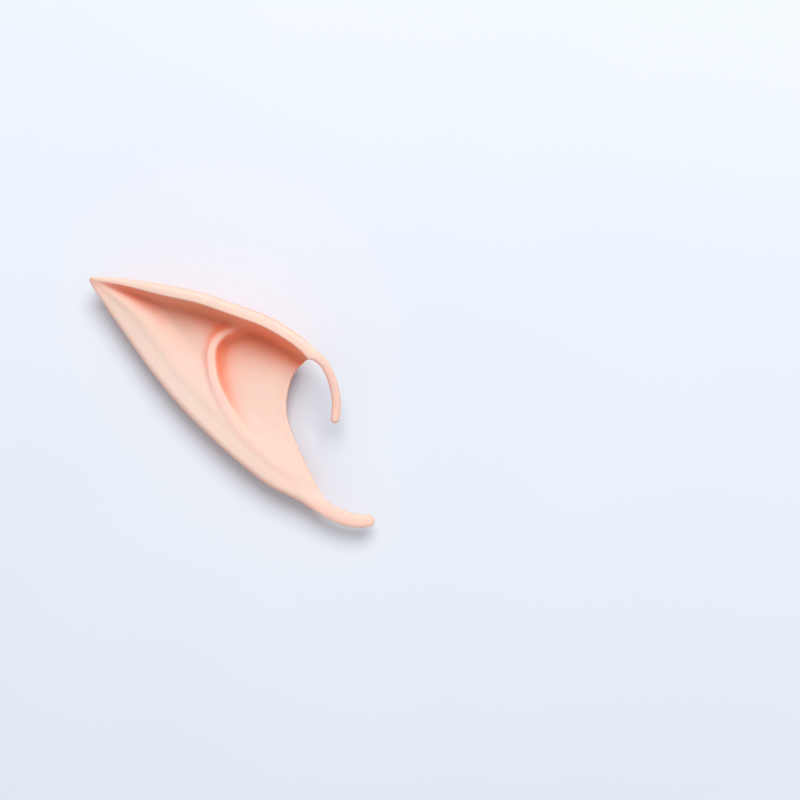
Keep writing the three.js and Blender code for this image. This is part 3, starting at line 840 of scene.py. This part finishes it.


# The darker, redder tones below are painted shade, not a colour of the latex: they go where the ear
# hides the sky. The open tones are the latex's own colour.
PAINTED_SHADE_REACH = 60 * MM
PAINTED_SHADE_SAMPLES = 12
SKY_SEEN = (0.60, 0.90)
OUTSIDE_SEEN = (0.90, 1.00)
OUTSIDE_OPEN = 0.65
OPEN_TONES = [(0.36, (0.99, 0.652, 0.566)), (0.64, (0.99, 0.640, 0.556))]
PAINTED_SHADE_TONES = [(0.36, (0.93, 0.250, 0.125)), (0.64, (0.93, 0.240, 0.120))]
DRIFT_SCALE, GRAIN_SCALE = 55, 1400
ROUGHNESS = (0.5, 0.66)
BUMP_STRENGTH, BUMP_DEPTH = 0.12, 0.2 * MM
SCATTER_SHARE, SCATTER_RADII, SCATTER_DEPTH = 0.85, (1.0, 0.38, 0.22), 3 * MM
SHEEN = 0.15


def share_open(tree, seen_range, normal=None):
    """How open the surface is, from nought in a fold to one, looking along a normal: the mask for
    the painted shade.
    """
    seen = add(tree, "ShaderNodeAmbientOcclusion", samples=PAINTED_SHADE_SAMPLES, only_local=True)
    seen.inputs["Distance"].default_value = PAINTED_SHADE_REACH
    if normal:
        tree.links.new(normal, seen.inputs["Normal"])
    share = add(tree, "ShaderNodeMapRange", interpolation_type="SMOOTHSTEP")
    share.inputs["From Min"].default_value, share.inputs["From Max"].default_value = seen_range
    tree.links.new(seen.outputs["AO"], share.inputs["Value"])
    return share.outputs["Result"]


def unshaded_share(tree):
    """Where the painted shade is left off: the larger of two shares, of sky seen above and of room
    before the surface.
    """
    upwards = add(tree, "ShaderNodeCombineXYZ")
    upwards.inputs["Z"].default_value = 1
    under_sky = share_open(tree, SKY_SEEN, upwards.outputs["Vector"])
    part = add(tree, "ShaderNodeMath", operation="MULTIPLY")
    part.inputs[1].default_value = OUTSIDE_OPEN
    tree.links.new(share_open(tree, OUTSIDE_SEEN), part.inputs[0])
    larger = add(tree, "ShaderNodeMath", operation="MAXIMUM")
    tree.links.new(under_sky, larger.inputs[0])
    tree.links.new(part.outputs["Value"], larger.inputs[1])
    return larger.outputs["Value"]


def rough_and_bumpy(tree, shader, grain):
    rough = add(tree, "ShaderNodeMapRange")
    rough.inputs["To Min"].default_value, rough.inputs["To Max"].default_value = ROUGHNESS
    tree.links.new(grain, rough.inputs["Value"])
    tree.links.new(rough.outputs["Result"], shader.inputs["Roughness"])
    bump = add(tree, "ShaderNodeBump")
    bump.inputs["Strength"].default_value = BUMP_STRENGTH
    bump.inputs["Distance"].default_value = BUMP_DEPTH
    tree.links.new(grain, bump.inputs["Height"])
    tree.links.new(bump.outputs["Normal"], shader.inputs["Normal"])


def latex_material():
    material = bpy.data.materials.new("cast_latex")
    material.use_nodes = True
    tree = material.node_tree
    shader = tree.nodes["Principled BSDF"]
    place = add(tree, "ShaderNodeTexCoord").outputs["Object"]
    drift = noise(tree, place, DRIFT_SCALE, detail=2.0)
    # Painted shade: this mix darkens and reddens the colour in the folds and under the rims, where
    # little sky is seen.
    tone = add(tree, "ShaderNodeMix", data_type="RGBA")
    tree.links.new(unshaded_share(tree), tone.inputs["Factor"])
    tree.links.new(ramp(tree, drift, PAINTED_SHADE_TONES), tone.inputs[6])
    tree.links.new(ramp(tree, drift, OPEN_TONES), tone.inputs[7])
    tree.links.new(tone.outputs[2], shader.inputs["Base Color"])
    rough_and_bumpy(tree, shader, noise(tree, place, GRAIN_SCALE, detail=4.0, roughness=0.6))
    shader.inputs["Subsurface Weight"].default_value = SCATTER_SHARE
    shader.inputs["Subsurface Radius"].default_value = SCATTER_RADII
    shader.inputs["Subsurface Scale"].default_value = SCATTER_DEPTH
    shader.inputs["Specular IOR Level"].default_value = SHEEN
    return material


ear.data.materials.append(latex_material())
print("latex on", ear.name)

# %% [markdown]
# ## The sheet it lies on
# The photograph's background is a plain cool white. A flat plane with a hardly visible drift
# of tone is enough, and it catches the soft shadow that shows how far the rims stand clear.

# %% The pale floor
SHEET_HALF = 3.0
SHEET_DRIFT_SCALE = 6
SHEET_TONES = [(0.3, (0.715, 0.760, 0.835)), (0.7, (0.740, 0.782, 0.855))]
SHEET_ROUGHNESS, SHEET_SHEEN = 0.85, 0.2


def floor_material():
    material = bpy.data.materials.new("pale_sheet")
    material.use_nodes = True
    tree = material.node_tree
    shader = tree.nodes["Principled BSDF"]
    place = add(tree, "ShaderNodeTexCoord").outputs["Object"]
    drift = noise(tree, place, SHEET_DRIFT_SCALE, detail=2.0)
    tree.links.new(ramp(tree, drift, SHEET_TONES), shader.inputs["Base Color"])
    shader.inputs["Roughness"].default_value = SHEET_ROUGHNESS
    shader.inputs["Specular IOR Level"].default_value = SHEET_SHEEN
    return material


def floor():
    mesh = bpy.data.meshes.new("pale_sheet")
    signs = [(-1, -1), (1, -1), (1, 1), (-1, 1)]
    mesh.from_pydata([(a * SHEET_HALF, b * SHEET_HALF, 0) for a, b in signs], [], [(0, 1, 2, 3)])
    sheet = bpy.data.objects.new("pale_sheet", mesh)
    sheet.location.z = low.z
    bpy.context.scene.collection.objects.link(sheet)
    mesh.materials.append(floor_material())
    return sheet


floor()
print("floor at height", round(low.z, 4))

# %% [markdown]
# ## Light
# The shadows fall below the ear and a little to its left, and they are soft. So the main light
# is a large round panel high up beyond the picture's top edge, a little to the right. The rest
# of the light is an even cool sky that keeps the shadows open.

# %% Lamps and sky
PANEL_PLACE = (0.19, 0.75, 1.17)
PANEL_SIZE, PANEL_POWER = 0.95, 16.4
PANEL_COLOUR = (1.0, 0.99, 0.975)
SKY_COLOUR, SKY_STRENGTH = (0.97, 0.985, 1.0), 0.52


def panel(name, place, aim, size, power, colour):
    light = bpy.data.lights.new(name, "AREA")
    light.shape = "DISK"
    light.size = size
    light.energy = power
    light.color = colour
    lamp = bpy.data.objects.new(name, light)
    lamp.location = place
    lamp.rotation_euler = (Vector(place) - Vector(aim)).to_track_quat("Z", "Y").to_euler()
    bpy.context.scene.collection.objects.link(lamp)
    return lamp


def sky(colour, strength):
    world = bpy.data.worlds.new("cool_sky")
    world.use_nodes = True
    background = world.node_tree.nodes["Background"]
    background.inputs["Color"].default_value = (*colour, 1)
    background.inputs["Strength"].default_value = strength
    bpy.context.scene.world = world


ear_middle = (low + high) / 2
panel("window_panel", PANEL_PLACE, ear_middle, PANEL_SIZE, PANEL_POWER, PANEL_COLOUR)
sky(SKY_COLOUR, SKY_STRENGTH)
bpy.context.scene.view_settings.view_transform = "Standard"

# %% [markdown]
# ## Camera
# The photograph looks straight down, and the ear lies in the left half of its frame. The
# camera hangs over the middle of that frame, and its lens is set so that one of the 800 pixels
# across is 0.335 mm on the floor.

# %% Straight down from above
PHOTO_WIDTH = 800
PIXEL = 0.335 * MM
STRAP_END_PIXEL = 375
EAR_MIDDLE_ROW = 402.5
CAMERA_HEIGHT = 0.6
SENSOR = 36.0


def camera():
    data = bpy.data.cameras.new("above")
    data.sensor_width = SENSOR
    data.lens = SENSOR * CAMERA_HEIGHT / (PHOTO_WIDTH * PIXEL)
    eye = bpy.data.objects.new("above", data)
    across = high.x + (PHOTO_WIDTH / 2 - STRAP_END_PIXEL) * PIXEL
    along = (low.y + high.y) / 2 + (EAR_MIDDLE_ROW - PHOTO_WIDTH / 2) * PIXEL
    eye.location = (across, along, CAMERA_HEIGHT)
    bpy.context.scene.collection.objects.link(eye)
    bpy.context.scene.camera = eye
    return eye


eye = camera()
print("lens", round(eye.data.lens, 1), "mm, over x =", round(eye.location.x, 4))
